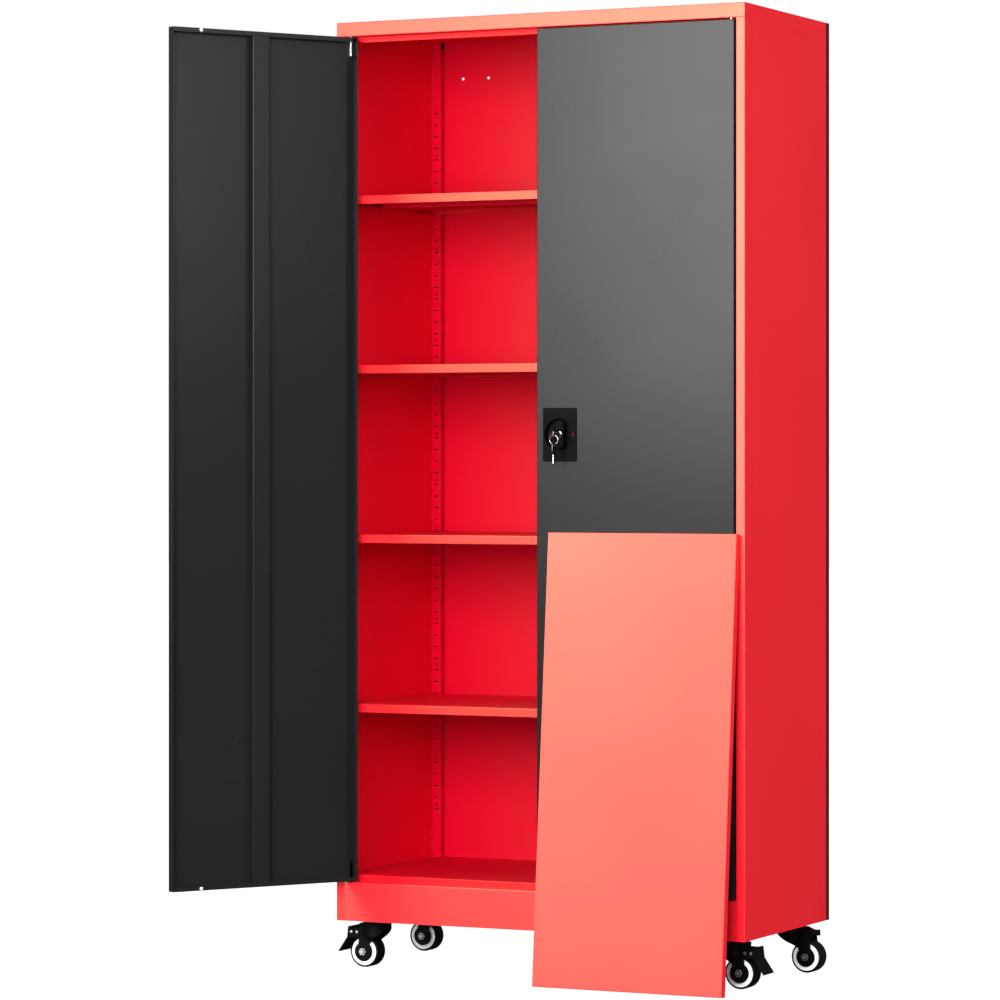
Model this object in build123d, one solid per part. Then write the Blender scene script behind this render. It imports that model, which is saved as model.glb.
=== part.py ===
"""Metal garage cabinet: a folded steel carcass on four swivel casters, with two inset doors, four adjustable
shelves, a spare shelf that leans on the closed right door, and a lock whose grip drives two locking rods.

Millimetres. +Z is up, +X is to the right, and the front faces -Y. The origin is on the floor, at the middle
of the carcass's footprint. The left door stands open and the right door is closed.
"""
from build123d import *
from math import asin, cos, degrees, radians, sin
import os

# Carcass
body_width = 900.0
body_depth = 450.0
body_height = 1830.0
sheet = 1.0
bend_share = 1.5
stile_width = 19.0
stop_setback = 23.0
band_height = 29.0
stop_lip = 11.0
plinth_height = 79.0
plinth_return = 30.0
floor_rise = 14.0
fold_depth = 20.0
floor_tuck = 15.0
rear_fold = 25.0
cut_overrun = 2.0

# Wall anchor holes in the back panel
anchor_radius = 3.0
anchor_spacing = 60.0
anchor_drop = 80.0
anchor_place = 354.0

# Screws along the back panel's two edges
back_screw_radius = 2.0
back_screw_head_radius = 4.0
back_screw_head = 2.2
back_screw_count = 7
back_screw_margin = 60.0

# Slotted uprights
upright_width = 21.0
upright_depth = 18.0
upright_flange_rise = 12.0
slot_length = 9.0
slot_height = 2.6
slot_pitch = 24.69
slot_start = 102.6
slot_end_margin = 110.0
marker_radius = 1.9
marker_rise = 9.6
marker_slot_count = 4

# Shelves
shelf_gap = 1.0
shelf_end_gap = 0.75
shelf_thickness = 17.0
shelf_lip = 10.0
shelf_count = 4
first_shelf_slot_count = 9
shelf_spacing_count = 14
stiffener_width = 96.0
stiffener_end_gap = 1.0

# Shelf clips
clip_sheet = 1.2
clip_width = 14.0
clip_reach = 12.0
clip_rise = 6.3
clip_drop = 9.0
tongue_side_gap = 0.4
tongue_reach = 2.5

# Doors
door_depth = 20.0
door_side_gap = 4.0
door_end_gap = 3.0
meeting_gap = 3.8
door_lip = 9.0
left_door_angle = 121.5
door_hat_place = 202.2
door_hat_width = 39.0
door_hat_depth = 17.0
door_hat_foot = 9.0
door_hat_bend = 2.6

# Door hinges
pin_radius = 2.5
pin_inset = 7.45
pin_setback = 5.0
pin_length = 44.0
pin_clearance = 0.05
pin_engagement = 5.0
bracket_sheet = 1.2
bracket_width = 26.0
bracket_height = 40.0
ear_width = 11.0
ear_depth = 9.0
lip_notch = 46.0

# Lock: escutcheon, grip and cam
lock_x = 53.0
lock_over_spare = 141.0
plate_width = 73.0
plate_height = 106.5
plate_proud = 2.6
plate_corner = 3.0
plate_edge = 0.8
dish_radius = 32.5
dish_wall = 2.0
dish_rim = 0.9
housing_depth = 10.0
housing_floor = 2.0
housing_clearance = 0.3
grip_length = 58.0
grip_width = 21.0
grip_proud = 6.0
grip_edge = 2.5
grip_clearance = 0.3
spindle_radius = 9.0
spindle_clearance = 0.05
spindle_tail = 0.3
cam_sheet = 2.0
cam_width = 14.0
cam_hub_radius = 12.5
cam_gap = 0.5
crank_radius = 16.0
crank_pin_radius = 2.5
crank_pin_length = 4.0
crank_angle = 45.0

# Locking rods
rod_radius = 3.5
rod_inset = 80.0
rod_setback = 14.0
rod_hole_clearance = 0.6
rod_rest_proud = 0.7
yoke_sheet = 3.0
yoke_side_gap = 0.5
yoke_play = 0.85
yoke_width = 16.0
yoke_back = 5.0
yoke_drop = 26.0
yoke_bar = 14.0
guide_width = 18.0
guide_height = 14.0
guide_wall = 2.5
guide_clearance = 0.4
guide_near = 200.0
guide_far = 120.0

# Lock cylinder, keys and ring
cylinder_radius = 5.5
cylinder_proud = 3.0
cylinder_length = 22.0
cylinder_clearance = 0.05
key_thickness = 2.0
key_blade_width = 7.0
key_blade_length = 18.0
key_insertion = 20.8
keyway_clearance = 0.05
key_head_thickness = 4.6
key_head_length = 24.0
key_head_width = 19.0
key_head_corner = 6.0
key_hole_radius = 3.0
key_hole_margin = 5.0
ring_radius = 9.0
ring_wire = 0.9
ring_clearance = 0.6

# Spare shelf leaning on the right door
spare_shelf_x = 237.5
spare_foot_out = 76.5
spare_touch_gap = 0.3

# Casters
caster_height = 100.0
caster_inset_x = 55.0
caster_inset_y = 73.0
rail_width = 111.0
rail_rise = 8.0
rail_height = 30.0
rail_sheet = 2.0
plate_thickness = 3.0
plate_size_x = 76.0
plate_size_y = 84.0
bolt_radius = 3.0
bolt_head_radius = 5.5
bolt_head = 3.6
bolt_tail = 6.0
bolt_spacing_x = 58.0
bolt_spacing_y = 64.0
bolt_clearance = 0.1
cup_radius = 28.0
cup_height = 14.0
swivel_gap = 0.4
kingpin_radius = 5.0
kingpin_clearance = 0.06
kingpin_reach = 9.0
crown_radius = 30.0
crown_height = 26.0
crown_taper = 14.0
crown_thickness = 13.0
front_trail = 21.0
rear_trail = 39.5
fork_inside = 19.1
fork_sheet = 3.0
fork_boss_radius = 12.5
fork_nose = 8.0
fork_waist_in = 15.0
fork_waist_up = 17.4
fork_heel_drop = 9.6
fork_leg_drop = 8.0
tail_front = 4.0
tail_back = 16.0
tail_drop = 10.0
tail_rise = 2.0
guard_radius = 19.7
guard_thickness = 1.0
guard_gap = 0.6
wheel_radius = 32.2
tyre_thickness = 4.4
tyre_round = 3.6
tyre_side = 0.6
core_dish_radius = 21.0
core_dish_depth = 0.8
core_groove_radius = 24.5
core_groove_width = 0.8
seat_gap = 0.03
axle_radius = 4.0
axle_clearance = 0.05
nut_radius = 7.4
nut_height = 4.5
axle_tip = 1.6
axle_tip_radius = 3.4

# Brake pedals on the front casters
pedal_pivot_out = 5.0
pedal_pivot_drop = 14.0
pedal_pin_radius = 2.4
pedal_pin_clearance = 0.05
pedal_boss_radius = 5.0
pedal_side_gap = 0.5
pedal_sheet = 2.0
pedal_top_drop = 7.5
pedal_arm_out = 33.0
pedal_tab = 3.0
pedal_half_width = 25.0
pedal_knee_out = 35.5
pedal_knee_drop = 29.6
pedal_tip_out = 55.5
pedal_tip_drop = 58.6
pedal_plate = 2.5
pedal_hole_radius = 2.3
pedal_hole_inset = 7.0
pedal_hole_spacing = 12.8
pedal_hole_drop = 18.5
shoe_out = 20.0
shoe_half_width = 12.0
shoe_drop = 28.5
shoe_height = 3.0

# Derived places
half_width = body_width / 2
front = -body_depth / 2
back = body_depth / 2
base = caster_height
top = base + body_height
bend = bend_share * sheet
inner_half = half_width - sheet
stile_inner = half_width - stile_width
stop_y = front + stop_setback
band_bottom = top - band_height
plinth_top = base + plinth_height
floor_top = plinth_top + floor_rise
back_inner = back - 2 * sheet
rear_web_y = back_inner - upright_depth
rail_inner = inner_half - rail_width
shelf_front = stop_y + shelf_gap
shelf_depth = rear_web_y - shelf_gap - shelf_front
shelf_half = inner_half - shelf_end_gap
shelf_mid = shelf_front + shelf_depth / 2
slot_x = inner_half - upright_width / 2
front_slot_x = (stile_inner + sheet + inner_half) / 2
door_hinge_x = stile_inner - door_side_gap
door_free_x = meeting_gap / 2
door_bottom = plinth_top + door_end_gap
door_top = band_bottom - door_end_gap
pin_x = door_hinge_x - pin_inset
pin_y = front + pin_setback
spare_lean = asin((spare_foot_out - spare_touch_gap) / (2 * shelf_half))
spare_top = 2 * shelf_half * cos(spare_lean) + shelf_thickness * sin(spare_lean)
lock_z = spare_top + lock_over_spare + plate_height / 2
rod_x = door_free_x + rod_inset
rod_y = front + rod_setback
rod_hole_radius = rod_radius + rod_hole_clearance
pivot_x = half_width - caster_inset_x
pivot_y = back - caster_inset_y
axle_z = wheel_radius
rail_base = base + rail_rise
plate_bottom = rail_base - plate_thickness
cup_bottom = plate_bottom - cup_height
crown_top = cup_bottom - swivel_gap
fork_top = crown_top - fork_leg_drop
wheel_half = fork_inside - guard_thickness - guard_gap


def block(x, y, z):
    """A box between low and high values along each axis."""
    centre = [(low + high) / 2 for low, high in (x, y, z)]
    size = [high - low for low, high in (x, y, z)]
    return Pos(*centre) * Box(*size)


def both(half):
    """The span from minus a half size to plus it."""
    return (-half, half)


def bar_z(x, y, radius, z):
    """A round bar along Z."""
    return Pos(x, y, (z[0] + z[1]) / 2) * Cylinder(radius, z[1] - z[0])


def bar_y(x, z, radius, y):
    """A round bar along Y."""
    return Pos(x, (y[0] + y[1]) / 2, z) * Rot(90, 0, 0) * Cylinder(radius, y[1] - y[0])


def front_view(sketch, y):
    """A shape drawn as it is seen from the front, X across and Z up, between two depths."""
    return extrude(Plane.XZ.offset(-y[1]) * sketch, amount=y[1] - y[0])


def outline(points):
    """A flat face with straight sides."""
    return make_face(Polyline(*points, close=True))


def mirrored(part):
    """The same piece on the other side of the cabinet."""
    return mirror(part, about=Plane.YZ)


# Carcass


def back_screw_heights():
    """Heights of the screws along one edge of the back panel."""
    span = body_height - 2 * back_screw_margin
    return [base + back_screw_margin + span * i / (back_screw_count - 1) for i in range(back_screw_count)]


def back_screw_x():
    """Distance of the back screws from the middle plane."""
    return half_width - rear_fold / 2


def back_screw_holes(sign):
    """Clearance holes for one row of back screws."""
    y = (back_inner - cut_overrun, back + cut_overrun)
    return [bar_y(sign * back_screw_x(), z, back_screw_radius + seat_gap, y) for z in back_screw_heights()]


def side_panel():
    """Right side panel, folded from one sheet with its front stile and rear fold."""
    panel = block((inner_half, half_width), (front, back), (base, top))
    stile = block((stile_inner, half_width), (front, stop_y), (base, band_bottom))
    hollow_z = (base - cut_overrun, band_bottom + cut_overrun)
    stile -= block((stile_inner + sheet, inner_half), (front + sheet, stop_y + cut_overrun), hollow_z)
    fold = block((half_width - rear_fold, half_width), (back - sheet, back), (base, top - sheet))
    panel = panel + stile + fold
    corners = [e for e in panel.edges().filter_by(Axis.Z) if e.center().Y < front + sheet / 2]
    corners += [e for e in panel.edges().filter_by(Axis.Z) if e.center().Y > back - sheet / 2]
    outer = [e for e in corners if e.center().X > inner_half + sheet / 2 and e.length > body_height / 2]
    inner = [e for e in corners if abs(e.center().X - stile_inner) < sheet / 2]
    panel = fillet(outer + inner, bend)
    return panel - back_screw_holes(1)


def top_panel():
    """Top panel: a pan with the front band, its return over the doors and the stop lip behind them."""
    pan = block(both(inner_half), (front, back), (top - sheet, top))
    pan += block(both(inner_half), (front, front + sheet), (band_bottom, top))
    pan += block(both(inner_half), (front, stop_y), (band_bottom, band_bottom + sheet))
    pan += block(both(stile_inner), (stop_y - sheet, stop_y), (band_bottom - stop_lip, band_bottom + sheet))
    rear_z = (top - fold_depth, top)
    pan += block(both(half_width - rear_fold), (back - sheet, back), rear_z)
    for x in ((inner_half - sheet, inner_half), (-inner_half, sheet - inner_half)):
        pan += block(x, (stop_y, back_inner), rear_z)
    long_edges = pan.edges().filter_by(Axis.X).filter_by(lambda e: abs(e.center().Y - front) < sheet / 2)
    pan = fillet(long_edges, bend)
    hole_z = (band_bottom - cut_overrun, band_bottom + sheet + cut_overrun)
    for x in (pin_x, -pin_x):
        pan -= bar_z(x, pin_y, pin_radius + pin_clearance, hole_z)
    return pan - bar_z(rod_x, rod_y, rod_hole_radius, hole_z)


def back_panel():
    """Flat back panel inside the side panels' rear folds, with two pairs of wall anchor holes."""
    y = (back_inner, back_inner + sheet)
    panel = block(both(inner_half), y, (base, top - sheet))
    cut_y = (y[0] - cut_overrun, y[1] + cut_overrun)
    for x in (-anchor_place, anchor_place):
        for shift in both(anchor_spacing / 2):
            panel -= bar_y(x + shift, top - anchor_drop, anchor_radius, cut_y)
    return panel - back_screw_holes(1) - back_screw_holes(-1)


def floor_panel():
    """Floor of the lowest compartment, with a riser that stops the doors and folds along its other edges."""
    deck = block(both(inner_half), (stop_y, back_inner), (floor_top - sheet, floor_top))
    deck += block(both(inner_half), (stop_y, stop_y + sheet), (plinth_top - floor_tuck, floor_top))
    fold_z = (floor_top - fold_depth, floor_top)
    deck += block(both(inner_half), (back_inner - sheet, back_inner), fold_z)
    for x in ((inner_half - sheet, inner_half), (-inner_half, sheet - inner_half)):
        deck += block(x, (stop_y, back_inner), fold_z)
    nose = deck.edges().filter_by(Axis.X).filter_by(lambda e: abs(e.center().Y - stop_y) < sheet / 2)
    return fillet(nose.filter_by(lambda e: e.center().Z > floor_top - sheet / 2), bend)


def front_plinth():
    """Front plinth between the stiles, with the return that carries the lower hinge pins."""
    rail = block(both(stile_inner), (front, front + sheet), (base, plinth_top))
    rail += block(both(stile_inner), (front, stop_y), (plinth_top - sheet, plinth_top))
    rail += block(both(rail_inner), (front, front + plinth_return), (base, base + sheet))
    nose = rail.edges().filter_by(Axis.X).filter_by(lambda e: abs(e.center().Y - front) < sheet / 2)
    rail = fillet(nose.filter_by(lambda e: e.center().Z > plinth_top - sheet / 2), bend)
    hole_z = (plinth_top - sheet - cut_overrun, plinth_top + cut_overrun)
    for x in (pin_x, -pin_x):
        rail -= bar_z(x, pin_y, pin_radius + pin_clearance, hole_z)
    return rail - bar_z(rod_x, rod_y, rod_hole_radius, hole_z)


def rear_plinth():
    """Angle that closes the base at the back."""
    rail = block(both(inner_half), (back_inner - sheet, back_inner), (base, floor_top - fold_depth))
    return rail + block(both(rail_inner), (back_inner - plinth_return, back_inner), (base, base + sheet))


def bolt_places():
    """Places of the four bolts of a caster plate, from its swivel axis."""
    return [(x, y) for x in both(bolt_spacing_x / 2) for y in both(bolt_spacing_y / 2)]


def caster_rail():
    """Right caster rail: a channel under the floor that the caster plates are bolted to."""
    y = (stop_y, back_inner - sheet)
    rail = block((rail_inner, inner_half), y, (rail_base, rail_base + rail_height))
    hollow_x = (rail_inner + rail_sheet, inner_half - rail_sheet)
    hollow_y = (y[0] - cut_overrun, y[1] + cut_overrun)
    rail -= block(hollow_x, hollow_y, (rail_base + rail_sheet, rail_base + rail_height + cut_overrun))
    hole_z = (rail_base - cut_overrun, rail_base + rail_sheet + cut_overrun)
    for row in (-pivot_y, pivot_y):
        for x, y in bolt_places():
            rail -= bar_z(pivot_x + x, row + y, bolt_radius + bolt_clearance, hole_z)
    return rail


# Uprights, shelves and clips


def slot_count():
    """Number of slots that the uprights have room for."""
    return int((band_bottom - floor_top - slot_start - slot_end_margin) / slot_pitch) + 1


def slot_z(index):
    """Height of one slot, counted from the lowest."""
    return floor_top + slot_start + index * slot_pitch


def slotted_web(x, y, middle):
    """Upright's web with its row of slots, and a marker hole above every few slots."""
    z = (floor_top, band_bottom)
    web = Pos((x[0] + x[1]) / 2, (z[0] + z[1]) / 2) * Rectangle(x[1] - x[0], z[1] - z[0])
    cuts = [Pos(middle, slot_z(i)) * SlotOverall(slot_length, slot_height) for i in range(slot_count())]
    for i in range(0, slot_count(), marker_slot_count):
        cuts.append(Pos(middle, slot_z(i) + marker_rise) * Circle(marker_radius))
    return front_view(web - cuts, y)


def rear_upright():
    """Right rear upright: an angle whose slotted web faces forward and runs up to the top panel."""
    x = (inner_half - upright_width, inner_half)
    y = (rear_web_y, rear_web_y + sheet)
    web = slotted_web(x, y, slot_x)
    web += block((x[0], x[1] - sheet), y, (band_bottom, top - sheet))
    flange_z = (floor_top, band_bottom + upright_flange_rise)
    return web + block((x[0], x[0] + sheet), (rear_web_y, back_inner), flange_z)


def front_upright():
    """Right front upright: an angle inside the stile, whose slotted web faces the shelves."""
    x = (stile_inner + sheet, inner_half)
    web = slotted_web(x, (stop_y - sheet, stop_y), front_slot_x)
    return web + block((inner_half - sheet, inner_half), (front + sheet, stop_y), (floor_top, band_bottom))


def shelf_bottom(index):
    """Height of one installed shelf's underside."""
    return slot_z(first_shelf_slot_count + index * shelf_spacing_count) + clip_rise


def shelf_pan():
    """One shelf: a shallow pan with hemmed edges, its underside at zero and its middle at the origin."""
    pan = block(both(shelf_half), both(shelf_depth / 2), (0, shelf_thickness))
    corners = pan.edges().filter_by(Axis.Z)
    pan = fillet(corners, bend)
    pan = fillet(pan.faces().sort_by(Axis.Z)[-1].edges(), bend)
    inside = [both(size - sheet) for size in (shelf_half, shelf_depth / 2)]
    pan -= block(*inside, (sheet, shelf_thickness - sheet))
    opening = [both(size - shelf_lip) for size in (shelf_half, shelf_depth / 2)]
    return pan - block(*opening, (-cut_overrun, sheet + cut_overrun))


def shelf_stiffener():
    """Channel under one shelf, in the shelf's own place."""
    half = shelf_half - shelf_lip - stiffener_end_gap
    channel = block(both(half), both(stiffener_width / 2), (0, shelf_thickness - sheet))
    wall = stiffener_width / 2 - sheet
    return channel - block(both(half + cut_overrun), both(wall), (sheet, shelf_thickness))


def shelf_place(index):
    """Where one shelf hangs in the carcass."""
    return Pos(0, shelf_mid, shelf_bottom(index))


def shelf_clip(x, face_y, inward, slot):
    """One clip: a tongue in the slot, a plate on the web and a ledge under the shelf."""
    ledge = slot + clip_rise
    reach = sorted((face_y, face_y + inward * clip_reach))
    plate = sorted((face_y, face_y + inward * clip_sheet))
    tongue = sorted((face_y + inward * clip_sheet, face_y - inward * tongue_reach))
    across = (x - clip_width / 2, x + clip_width / 2)
    narrow = (x - slot_length / 2 + tongue_side_gap, x + slot_length / 2 - tongue_side_gap)
    part = block(across, plate, (slot - clip_drop, ledge))
    part += block(across, reach, (ledge - clip_sheet, ledge))
    return part + block(narrow, tongue, (slot - clip_sheet / 2, slot + clip_sheet / 2))


def shelf_clips():
    """All the clips, four under each shelf."""
    clips = []
    for index in range(shelf_count):
        slot = slot_z(first_shelf_slot_count + index * shelf_spacing_count)
        for side in (-1, 1):
            clips.append(shelf_clip(side * slot_x, rear_web_y, -1, slot))
            clips.append(shelf_clip(side * front_slot_x, stop_y, 1, slot))
    return clips


def back_screws():
    """Screws through the rear folds into the back panel, with their heads outside."""
    screws = []
    for sign in (-1, 1):
        for z in back_screw_heights():
            shank = bar_y(sign * back_screw_x(), z, back_screw_radius, (back_inner, back + back_screw_head))
            head = bar_y(sign * back_screw_x(), z, back_screw_head_radius, (back, back + back_screw_head))
            crown = head.faces().sort_by(Axis.Y)[-1].edges()
            screws.append(fillet(crown, back_screw_head / 2) + shank)
    return screws


# Doors


def door_panel(meeting_lip):
    """Right door: a folded pan with return lips, notched at the upper hinge, with holes for the pins."""
    x = (door_free_x, door_hinge_x)
    y = (front, front + door_depth)
    z = (door_bottom, door_top)
    pan = block(x, y, z)
    pan = fillet(pan.edges().filter_by(lambda e: abs(e.center().Y - front) < sheet / 2), bend)
    pan -= block(*[(low + sheet, high - sheet) for low, high in (x, y, z)])
    rear = (y[1] - sheet - cut_overrun, y[1] + cut_overrun)
    pan -= block((x[0] + meeting_lip, x[1] - door_lip), rear, (z[0] + door_lip, z[1] - door_lip))
    notch_x = (x[1] - door_lip - cut_overrun, x[1] - sheet)
    pan -= block(notch_x, rear, (z[1] - lip_notch, z[1] - sheet))
    for edge in z:
        hole_z = (edge - sheet - cut_overrun, edge + sheet + cut_overrun)
        pan -= bar_z(pin_x, pin_y, pin_radius + seat_gap, hole_z)
    return pan


def door_stiffener():
    """Hat section down the inside of the door."""
    middle = door_free_x + door_hat_place
    x = (middle - door_hat_width / 2, middle + door_hat_width / 2)
    y = (front + sheet, front + sheet + door_hat_depth)
    z = (door_bottom + sheet, door_top - sheet)
    cut_z = (z[0] - cut_overrun, z[1] + cut_overrun)
    hat = block(x, y, z)
    hat = fillet(hat.edges().filter_by(Axis.Z).sort_by(Axis.Y)[-2:], door_hat_bend)
    core = block((x[0] + sheet, x[1] - sheet), (y[0] - cut_overrun, y[1] - sheet), cut_z)
    hat -= fillet(core.edges().filter_by(Axis.Z).sort_by(Axis.Y)[-2:], door_hat_bend - sheet)
    for foot in ((x[0] - door_hat_foot, x[0] + sheet), (x[1] - sheet, x[1] + door_hat_foot)):
        hat += block(foot, (y[0], y[0] + sheet), z)
    return hat


def hinge_bracket(edge, inward):
    """Bracket inside the door that carries one hinge pin; inward points from the door's end to its middle."""
    flange = edge + inward * sheet
    z = sorted((flange, flange + inward * bracket_height))
    ear_z = sorted((z[0] if inward < 0 else z[1], (z[0] if inward < 0 else z[1]) - inward * bracket_sheet))
    x_high = door_hinge_x - sheet
    y = (front + sheet, front + sheet + bracket_sheet)
    part = block((x_high - bracket_width, x_high), y, z)
    ear_x = (pin_x - ear_width / 2, min(pin_x + ear_width / 2, x_high))
    part += block(ear_x, (y[0], y[0] + ear_depth), ear_z)
    hole_z = (ear_z[0] - cut_overrun, ear_z[1] + cut_overrun)
    part -= bar_z(pin_x, pin_y, pin_radius + seat_gap, hole_z)
    return part


def hinge_brackets():
    """Top and bottom brackets of the right door."""
    return [hinge_bracket(door_top, -1), hinge_bracket(door_bottom, 1)]


def hinge_pins():
    """Top and bottom hinge pins of the right door, in the carcass above and below it."""
    upper = band_bottom + pin_engagement
    lower = plinth_top - pin_engagement
    spans = ((upper - pin_length, upper), (lower, lower + pin_length))
    return [bar_z(pin_x, pin_y, pin_radius, z) for z in spans]


def opened(part):
    """A piece of the right door, as the left door's piece standing open."""
    hinge = Axis((-pin_x, pin_y, 0), (0, 0, 1))
    return mirrored(part).rotate(hinge, -left_door_angle)


def right_door_panel():
    """Right door with the round opening for the lock's dish and the holes for the rods."""
    cut = (front - cut_overrun, front + sheet + cut_overrun)
    pan = door_panel(door_lip) - bar_y(lock_x, lock_z, dish_radius + dish_wall + housing_clearance, cut)
    for edge in (door_bottom, door_top):
        pan -= bar_z(rod_x, rod_y, rod_hole_radius, (edge - sheet - cut_overrun, edge + sheet + cut_overrun))
    return pan


# Lock


def dish_floor():
    """Depth of the dish's inner floor."""
    return front + housing_depth - housing_floor


def lock_escutcheon():
    """Lock plate with its round dish, whose housing stands through the door."""
    plate = Pos(lock_x, lock_z) * RectangleRounded(plate_width, plate_height, plate_corner)
    part = front_view(plate, (front - plate_proud, front))
    part = fillet(part.faces().sort_by(Axis.Y)[0].edges(), plate_edge)
    rim = front - plate_proud - dish_rim
    part += bar_y(lock_x, lock_z, dish_radius + dish_wall, (rim, front + housing_depth))
    part -= bar_y(lock_x, lock_z, dish_radius, (front - plate_proud - cut_overrun, dish_floor()))
    bore = (front, front + housing_depth + cut_overrun)
    return part - bar_y(lock_x, lock_z, spindle_radius + spindle_clearance, bore)


def cam_span():
    """Depths of the cam's plate, behind the dish."""
    near = front + housing_depth + cam_gap
    return (near, near + cam_sheet)


def handle_grip():
    """Turning grip in the dish, with its spindle and the bore for the lock cylinder."""
    bar = Pos(lock_x, lock_z) * Rot(0, 0, 90) * SlotOverall(grip_length, grip_width)
    part = front_view(bar, (front - grip_proud, dish_floor() - grip_clearance))
    part = fillet(part.faces().sort_by(Axis.Y)[0].edges(), grip_edge)
    tail = cam_span()[1] + spindle_tail
    part += bar_y(lock_x, lock_z, spindle_radius, (dish_floor() - grip_clearance, tail))
    bore = (front - grip_proud - cut_overrun, tail + cut_overrun)
    return part - bar_y(lock_x, lock_z, cylinder_radius + cylinder_clearance, bore)


def crank_offset():
    """Sideways and upward distance of a crank pin from the lock's axis at rest."""
    return crank_radius * cos(radians(crank_angle)), crank_radius * sin(radians(crank_angle))


def lock_cam():
    """Cam on the spindle with two crank pins, one for each rod."""
    y = cam_span()
    length = 2 * crank_radius + cam_width
    arm = Pos(lock_x, lock_z) * Rot(0, 0, -crank_angle) * SlotOverall(length, cam_width)
    part = front_view(arm + Pos(lock_x, lock_z) * Circle(cam_hub_radius), y)
    across, up = crank_offset()
    for sign in (-1, 1):
        pin = (y[1] - cam_sheet / 2, y[1] + crank_pin_length)
        part += bar_y(lock_x + sign * across, lock_z - sign * up, crank_pin_radius, pin)
    bore = (y[0] - cut_overrun, y[1] + cut_overrun)
    return part - bar_y(lock_x, lock_z, spindle_radius + seat_gap, bore)


def yoke_span():
    """Depths of the rods' flat yokes, behind the cam's plate."""
    near = cam_span()[1] + yoke_side_gap
    return (near, near + yoke_sheet)


def yoke_slot(side, z):
    """Slot of a yoke for its crank pin, open towards the lock's axis."""
    across = crank_offset()[0]
    reach = crank_radius + crank_pin_radius + yoke_play
    inner = across - crank_pin_radius - yoke_back
    x = sorted((lock_x + side * inner, lock_x + side * reach))
    half = crank_pin_radius + yoke_play
    span = yoke_span()
    return block(x, (span[0] - cut_overrun, span[1] + cut_overrun), (z - half, z + half))


def upper_rod():
    """Upper locking rod with the yoke that the right-hand crank pin lifts."""
    pin_z = lock_z - crank_offset()[1]
    inner = lock_x + crank_offset()[0] - crank_pin_radius
    z = (pin_z - yoke_width / 2, pin_z + yoke_width / 2)
    part = block((inner, rod_x + rod_radius), yoke_span(), z) - yoke_slot(1, pin_z)
    return part + bar_z(rod_x, rod_y, rod_radius, (z[0], door_top + rod_rest_proud))


def lower_rod():
    """Lower locking rod, whose yoke reaches under the cam to the left-hand crank pin."""
    pin_z = lock_z + crank_offset()[1]
    reach = lock_x - crank_radius - crank_pin_radius - yoke_back
    inner = lock_x - crank_offset()[0] + crank_pin_radius
    bar_low = lock_z - yoke_drop - yoke_bar
    part = block((reach, inner), yoke_span(), (bar_low, pin_z + yoke_width / 2)) - yoke_slot(-1, pin_z)
    part += block((reach, rod_x + rod_radius), yoke_span(), (bar_low, bar_low + yoke_bar))
    return part + bar_z(rod_x, rod_y, rod_radius, (door_bottom - rod_rest_proud, bar_low + yoke_bar))


def rod_guides():
    """Guides on the inside of the door that the rods slide in."""
    heights = (door_top - guide_far, lock_z + guide_near, lock_z - guide_near, door_bottom + guide_far)
    guides = []
    for z in heights:
        span = (z - guide_height / 2, z + guide_height / 2)
        x = (rod_x - guide_width / 2, rod_x + guide_width / 2)
        body = block(x, (front + sheet, rod_y + rod_radius + guide_wall), span)
        bore = (span[0] - cut_overrun, span[1] + cut_overrun)
        guides.append(body - bar_z(rod_x, rod_y, rod_radius + guide_clearance, bore))
    return guides


def cylinder_face():
    """Depth of the lock cylinder's front face."""
    return front - grip_proud - cylinder_proud


def lock_cylinder():
    """Lock cylinder in the grip, with its keyway."""
    face = cylinder_face()
    part = bar_y(lock_x, lock_z, cylinder_radius, (face, face + cylinder_length))
    half = [key_thickness / 2 + keyway_clearance, key_blade_width / 2 + keyway_clearance]
    way = (face - cut_overrun, face + key_insertion + keyway_clearance)
    return part - block((lock_x - half[0], lock_x + half[0]), way, (lock_z - half[1], lock_z + half[1]))


def key_shape():
    """A key drawn flat: its blade along +X from zero, and its head, with the ring hole, towards -X."""
    head = Pos(-key_head_length / 2, 0) * RectangleRounded(key_head_length, key_head_width, key_head_corner)
    head -= Pos(-key_head_length + key_hole_margin, 0) * Circle(key_hole_radius)
    blade = Pos((key_blade_length - key_head_corner) / 2, 0)
    blade *= Rectangle(key_blade_length + key_head_corner, key_blade_width)
    tip = Pos(key_blade_length, 0) * Rot(0, 0, 45) * Rectangle(key_blade_width / 2, key_blade_width / 2)
    part = Pos(0, 0, -key_head_thickness / 2) * extrude(head, amount=key_head_thickness)
    return part + Pos(0, 0, -key_thickness / 2) * extrude(blade + tip, amount=key_thickness)


def inserted_key():
    """Key in the cylinder, its flat side upright and its head towards the front."""
    seat = cylinder_face() + key_insertion - key_blade_length - key_blade_width / 2
    return Pos(lock_x, seat, lock_z) * Rot(0, 90, 0) * Rot(0, 0, 90) * key_shape()


def ring_place():
    """Centre of the key ring, which hangs in the inserted key's hole."""
    seat = cylinder_face() + key_insertion - key_blade_length - key_blade_width / 2
    y = seat - key_head_length + key_hole_margin
    return y, lock_z - key_hole_radius + ring_wire + ring_clearance - ring_radius


def key_ring():
    """Ring of round wire."""
    y, z = ring_place()
    return Pos(lock_x, y, z) * Rot(90, 0, 0) * Torus(ring_radius, ring_wire)


def spare_key():
    """Second key, hanging from the bottom of the ring."""
    y, z = ring_place()
    hole_z = z - ring_radius - key_hole_radius + ring_wire + ring_clearance
    head_end = hole_z - (key_head_length - key_hole_margin)
    return Pos(lock_x, y, head_end) * Rot(0, 90, 0) * key_shape()


# Spare shelf


def spare_place():
    """Stands a shelf on its end before the right door and leans it back until its top edge meets the door."""
    upright = Pos(0, 0, shelf_half) * Rot(0, 0, 90) * Rot(0, -90, 0)
    return Pos(spare_shelf_x, front - spare_foot_out, 0) * Rot(-degrees(spare_lean), 0, 0) * upright


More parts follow.
